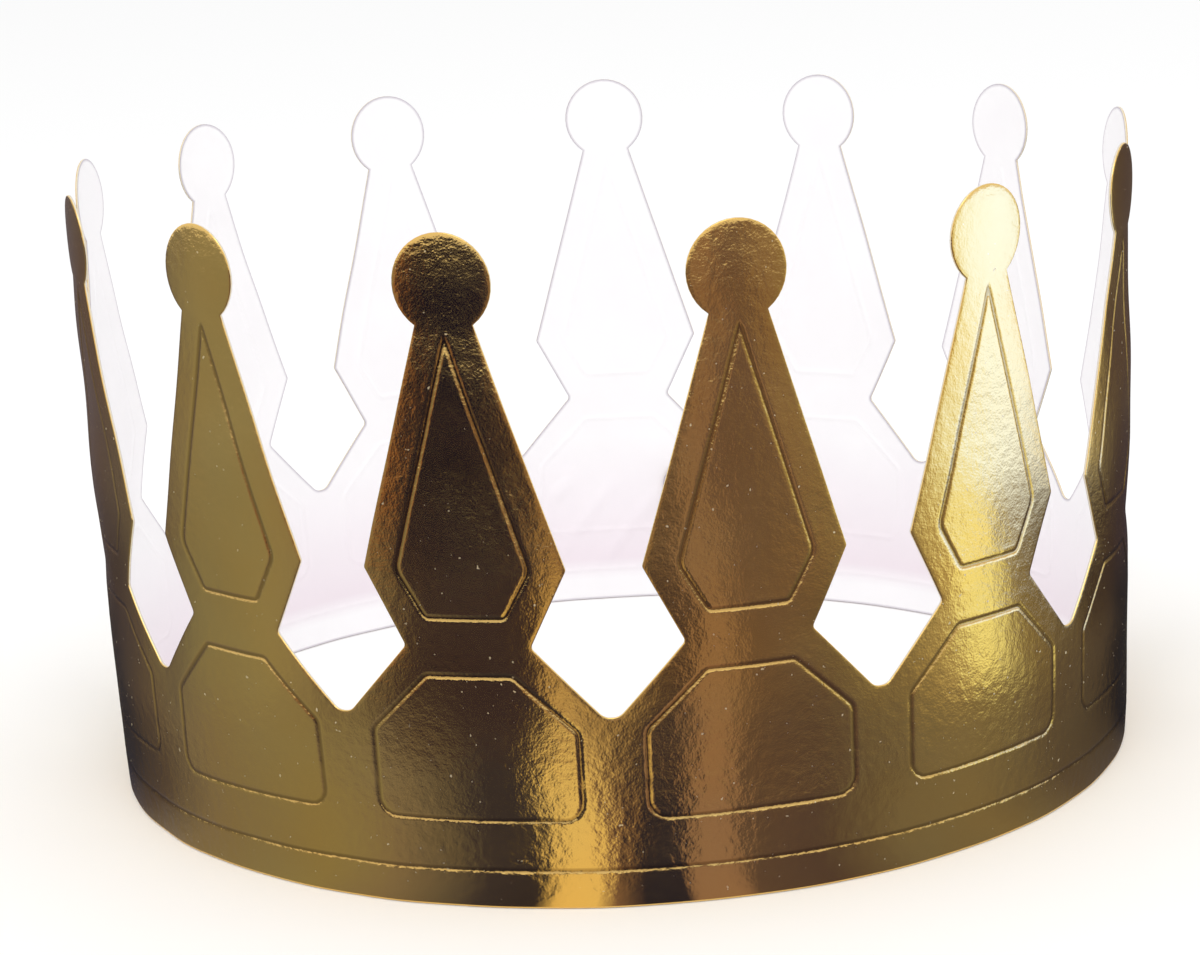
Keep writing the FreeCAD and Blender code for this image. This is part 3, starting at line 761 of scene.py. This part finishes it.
def white_paper():
    """The card's uncoated white side: a faint fibre, painted shade low on the band and painted shade
    along the cut edges.
    """
    material, nodes, links, shader = new_material("white_paper")
    place = nodes.new("ShaderNodeTexCoord").outputs["Object"]
    cloud = noise_at(nodes, links, place, scale=60, detail=3)
    clean = ranged(nodes, links, cloud, low=0.3, high=0.7)
    colour = mixed(nodes, links, clean, DULL_WHITE, CLEAN_WHITE)
    height = split_up(nodes, links, place)["Z"]
    # Painted shade: the white side is tinted pinkish grey low on the band, from a little above the hem
    # and fading out towards the valleys.
    above_hem = ranged(nodes, links, height, low=0.0045, high=0.009)
    below_valleys = ranged(nodes, links, height, low=0.010, high=0.036, to_low=1, to_high=0)
    band_shade_share = calculated(nodes, links, "MULTIPLY", above_hem, below_valleys)
    colour = mixed(nodes, links, band_shade_share, colour, PAINTED_BAND_SHADE)
    # Painted shade: the white side is greyed in a thin line along its cut edges.
    cut_shade_share = ranged(nodes, links, marked(nodes, "near_cut"), low=0.25, high=0.8, to_high=0.75)
    colour = mixed(nodes, links, cut_shade_share, colour, PAINTED_CUT_SHADE)
    links.new(colour, shader.inputs["Base Color"])
    shader.inputs["Roughness"].default_value = 0.75
    shader.inputs["Specular IOR Level"].default_value = 0.25
    fibre = noise_at(nodes, links, place, scale=1500, detail=4, roughness=0.65)
    normal = bumped(nodes, links, fibre, distance=0.00002, strength=0.6)
    links.new(normal, shader.inputs["Normal"])
    return material


def cut_card():
    """The cut face between foil and paper."""
    material, nodes, links, shader = new_material("cut_card")
    place = nodes.new("ShaderNodeTexCoord").outputs["Object"]
    fibre = noise_at(nodes, links, place, scale=2500, detail=3)
    colour = mixed(nodes, links, fibre, CUT_BROWN, CUT_CREAM)
    links.new(colour, shader.inputs["Base Color"])
    shader.inputs["Roughness"].default_value = 0.7
    return material


crown = bpy.data.objects.new("crown", crown_mesh())
bpy.context.scene.collection.objects.link(crown)
for finish in (gold_foil(), white_paper(), cut_card()):
    crown.data.materials.append(finish)
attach(crown, "root")
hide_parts("crown_strip")


# The studio
FLOOR_HALF = 3.0
FLOOR_LEVEL = -0.0001
FLOOR_WHITE = (0.93, 0.93, 0.93, 1)
CARDS_HALF = 1.5
CARDS_LEVEL = 0.0003
SKY_STRENGTH = 1.0
LAMP_PLACE = Vector((0.2, -0.8, 1.5))
LAMP_AIM = Vector((0, 0, 0.05))
LAMP_SIZE = 1.0
LAMP_WATTS = 7.0
CAMERA_TURN = math.radians(15.365)
CAMERA_RISE = math.radians(13.544)
CAMERA_ROLL = math.radians(-3.097)
CAMERA_DISTANCE = 0.62673
CAMERA_TARGET = Vector((-0.0023, -0.0006, 0.05013))
LENS = 99.28
SENSOR_WIDTH = 36

# Reflector cards that lie on the floor round the crown, seen in the foil
# alone: (degrees from the camera's own direction, towards its right; shade).
NEAR_CARDS = (
    (-172, (0.30, 0.29, 0.28)), (-150, (0.08, 0.07, 0.08)), (-128, (0.03, 0.03, 0.04)),
    (-112, (0.04, 0.04, 0.06)), (-96, (0.10, 0.09, 0.11)), (-76, (0.24, 0.24, 0.27)),
    (-48, (0.30, 0.31, 0.27)), (-36, (0.25, 0.24, 0.28)), (-28, (0.15, 0.15, 0.20)),
    (-22, (0.05, 0.05, 0.11)), (-13.5, (0.04, 0.04, 0.09)), (-11, (0.95, 0.82, 0.50)),
    (-5.5, (0.95, 0.82, 0.50)), (-3, (0.25, 0.17, 0.18)), (1, (0.03, 0.03, 0.08)),
    (7, (0.03, 0.03, 0.08)), (8.5, (0.34, 0.24, 0.26)), (15, (0.34, 0.24, 0.26)),
    (17, (0.13, 0.10, 0.14)), (28, (0.10, 0.08, 0.13)), (42, (0.20, 0.20, 0.22)),
    (58, (0.23, 0.22, 0.21)), (80, (0.12, 0.11, 0.13)), (100, (0.08, 0.07, 0.07)),
    (112, (0.02, 0.02, 0.03)), (150, (0.04, 0.04, 0.04)), (168, (0.30, 0.29, 0.28)),
)
MIDDLE_CARDS = (
    (-172, (0.30, 0.29, 0.28)), (-150, (0.11, 0.10, 0.12)), (-120, (0.06, 0.05, 0.06)),
    (-100, (0.13, 0.12, 0.15)), (-84, (0.25, 0.27, 0.27)), (-63, (0.34, 0.35, 0.30)),
    (-50, (0.27, 0.27, 0.28)), (-38, (0.06, 0.05, 0.10)), (-12, (0.04, 0.03, 0.07)),
    (-9.5, (0.70, 0.55, 0.35)), (-4, (0.50, 0.40, 0.30)), (0, (0.08, 0.06, 0.09)),
    (8, (0.06, 0.05, 0.09)), (11, (0.38, 0.28, 0.29)), (16, (0.34, 0.26, 0.26)),
    (20, (0.17, 0.13, 0.16)), (36, (0.16, 0.14, 0.17)), (46, (0.25, 0.24, 0.22)),
    (56, (0.50, 0.45, 0.32)), (62, (1.20, 1.40, 1.05)), (67, (1.20, 1.40, 1.05)),
    (73, (0.28, 0.26, 0.19)), (86, (0.18, 0.17, 0.16)), (96, (0.05, 0.04, 0.05)),
    (150, (0.05, 0.04, 0.06)), (168, (0.30, 0.29, 0.28)),
)
FAR_CARDS = (
    (-172, (0.30, 0.29, 0.28)), (-155, (0.13, 0.12, 0.15)), (-128, (0.12, 0.10, 0.12)),
    (-104, (0.20, 0.20, 0.24)), (-90, (0.32, 0.33, 0.31)), (-70, (0.31, 0.33, 0.32)),
    (-56, (0.30, 0.29, 0.30)), (-47, (0.33, 0.16, 0.11)), (-42, (0.04, 0.03, 0.07)),
    (-36, (0.01, 0.01, 0.05)), (-20, (0.01, 0.01, 0.05)), (-14, (0.09, 0.07, 0.11)),
    (-8, (0.30, 0.20, 0.17)), (-2, (0.30, 0.20, 0.17)), (4, (0.12, 0.10, 0.14)),
    (12, (0.34, 0.24, 0.24)), (22, (0.12, 0.09, 0.15)), (32, (0.28, 0.21, 0.20)),
    (46, (0.30, 0.26, 0.22)), (56, (0.75, 0.72, 0.42)), (64, (1.15, 1.45, 1.90)),
    (74, (1.30, 1.90, 4.20)), (90, (1.30, 1.90, 4.20)), (102, (1.00, 1.10, 1.00)),
    (110, (0.50, 0.50, 0.36)), (117, (0.18, 0.17, 0.14)), (124, (0.10, 0.08, 0.08)),
    (150, (0.08, 0.06, 0.07)), (168, (0.30, 0.29, 0.28)),
)
# Distances from the crown's middle between which one ring of cards gives way to the next.
NEAR_TO_MIDDLE = (0.150, 0.185)
MIDDLE_TO_FAR = (0.215, 0.365)
# Close to the crown the cards taper, so that their edges stand upright in the foil.
TAPER_REACH = (0.102, 0.143)
TAPER = 1.35


def camera_from_front():
    """The camera, by its turn and rise round the target and its roll about its own axis."""
    camera = bpy.data.objects.new("camera", bpy.data.cameras.new("camera"))
    bpy.context.scene.collection.objects.link(camera)
    sin_turn, cos_turn = math.sin(CAMERA_TURN), math.cos(CAMERA_TURN)
    sin_rise, cos_rise = math.sin(CAMERA_RISE), math.cos(CAMERA_RISE)
    back = Vector((sin_turn * cos_rise, -cos_turn * cos_rise, sin_rise))
    level_right = Vector((cos_turn, sin_turn, 0))
    level_up = Vector((-sin_turn * sin_rise, cos_turn * sin_rise, cos_rise))
    right = math.cos(CAMERA_ROLL) * level_right + math.sin(CAMERA_ROLL) * level_up
    up = math.cos(CAMERA_ROLL) * level_up - math.sin(CAMERA_ROLL) * level_right
    turned = Matrix((right, up, back)).transposed().to_4x4()
    camera.matrix_world = Matrix.Translation(CAMERA_TARGET + CAMERA_DISTANCE * back) @ turned
    camera.data.lens = LENS
    camera.data.sensor_width = SENSOR_WIDTH
    bpy.context.scene.camera = camera


def flat_square(name, half, level):
    """A level square round the origin."""
    mesh = bpy.data.meshes.new(name)
    signs = ((-1, -1), (1, -1), (1, 1), (-1, 1))
    mesh.from_pydata([(half * x, half * y, level) for x, y in signs], [], [(0, 1, 2, 3)])
    square = bpy.data.objects.new(name, mesh)
    bpy.context.scene.collection.objects.link(square)
    return square


def pale_floor():
    """The floor: matt and nearly white."""
    floor = flat_square("floor", FLOOR_HALF, FLOOR_LEVEL)
    material, nodes, links, shader = new_material("floor_paper")
    shader.inputs["Base Color"].default_value = FLOOR_WHITE
    shader.inputs["Roughness"].default_value = 0.9
    shader.inputs["Specular IOR Level"].default_value = 0.0
    floor.data.materials.append(material)


def ramp_round(nodes, links, turn_share, cards):
    """Shades of the cards in order round the crown."""
    ramp = nodes.new("ShaderNodeValToRGB")
    points = ramp.color_ramp.elements
    while len(points) < len(cards):
        points.new(0.5)
    for point, (degrees, shade) in zip(points, cards):
        point.position = (degrees + 180) / 360
        point.color = (*shade, 1)
    links.new(turn_share, ramp.inputs["Fac"])
    return ramp.outputs["Color"]


def reflector_cards():
    """The cards on the floor, as one square with shades by direction and by distance."""
    square = flat_square("reflector_cards", CARDS_HALF, CARDS_LEVEL)
    material = bpy.data.materials.new("card_shades")
    material.use_nodes = True
    nodes = material.node_tree.nodes
    links = material.node_tree.links
    nodes.clear()
    place = nodes.new("ShaderNodeTexCoord").outputs["Object"]
    turned = nodes.new("ShaderNodeMapping")
    turned.inputs["Rotation"].default_value = (0, 0, -CAMERA_TURN)
    links.new(place, turned.inputs["Vector"])
    axes = split_up(nodes, links, turned.outputs["Vector"])
    toward = calculated(nodes, links, "MULTIPLY", axes["Y"], -1)
    turn = calculated(nodes, links, "ARCTAN2", axes["X"], toward)
    length = nodes.new("ShaderNodeVectorMath")
    length.operation = "LENGTH"
    links.new(turned.outputs["Vector"], length.inputs[0])
    away = length.outputs["Value"]
    taper = ranged(nodes, links, away, *TAPER_REACH, to_low=TAPER, to_high=1)
    tapered = calculated(nodes, links, "MULTIPLY", turn, taper)
    share = ranged(nodes, links, tapered, low=-math.pi, high=math.pi)
    shade = ramp_round(nodes, links, share, NEAR_CARDS)
    for reach, cards in ((NEAR_TO_MIDDLE, MIDDLE_CARDS), (MIDDLE_TO_FAR, FAR_CARDS)):
        further = ranged(nodes, links, away, *reach)
        shade = mixed(nodes, links, further, shade, ramp_round(nodes, links, share, cards))
    glow = nodes.new("ShaderNodeEmission")
    links.new(shade, glow.inputs["Color"])
    output = nodes.new("ShaderNodeOutputMaterial")
    links.new(glow.outputs["Emission"], output.inputs["Surface"])
    square.data.materials.append(material)
    square.visible_camera = False
    square.visible_diffuse = False
    square.visible_transmission = False
    square.visible_shadow = False


def soft_sky():
    """A plain white surround that lights everything evenly."""
    world = bpy.data.worlds.new("soft_sky")
    bpy.context.scene.world = world
    world.use_nodes = True
    nodes = world.node_tree.nodes
    nodes.clear()
    light = nodes.new("ShaderNodeBackground")
    light.inputs["Color"].default_value = (1, 1, 1, 1)
    light.inputs["Strength"].default_value = SKY_STRENGTH
    output = nodes.new("ShaderNodeOutputWorld")
    world.node_tree.links.new(light.outputs["Background"], output.inputs["Surface"])


def soft_lamp():
    """A square soft lamp above the front of the crown."""
    lamp = bpy.data.objects.new("lamp_over", bpy.data.lights.new("lamp_over", "AREA"))
    lamp.data.size = LAMP_SIZE
    lamp.data.energy = LAMP_WATTS
    lamp.location = LAMP_PLACE
    lamp.rotation_euler = (LAMP_AIM - LAMP_PLACE).to_track_quat("-Z", "Y").to_euler()
    bpy.context.scene.collection.objects.link(lamp)


bpy.context.scene.view_settings.view_transform = "Standard"
camera_from_front()
pale_floor()
reflector_cards()
soft_sky()
soft_lamp()
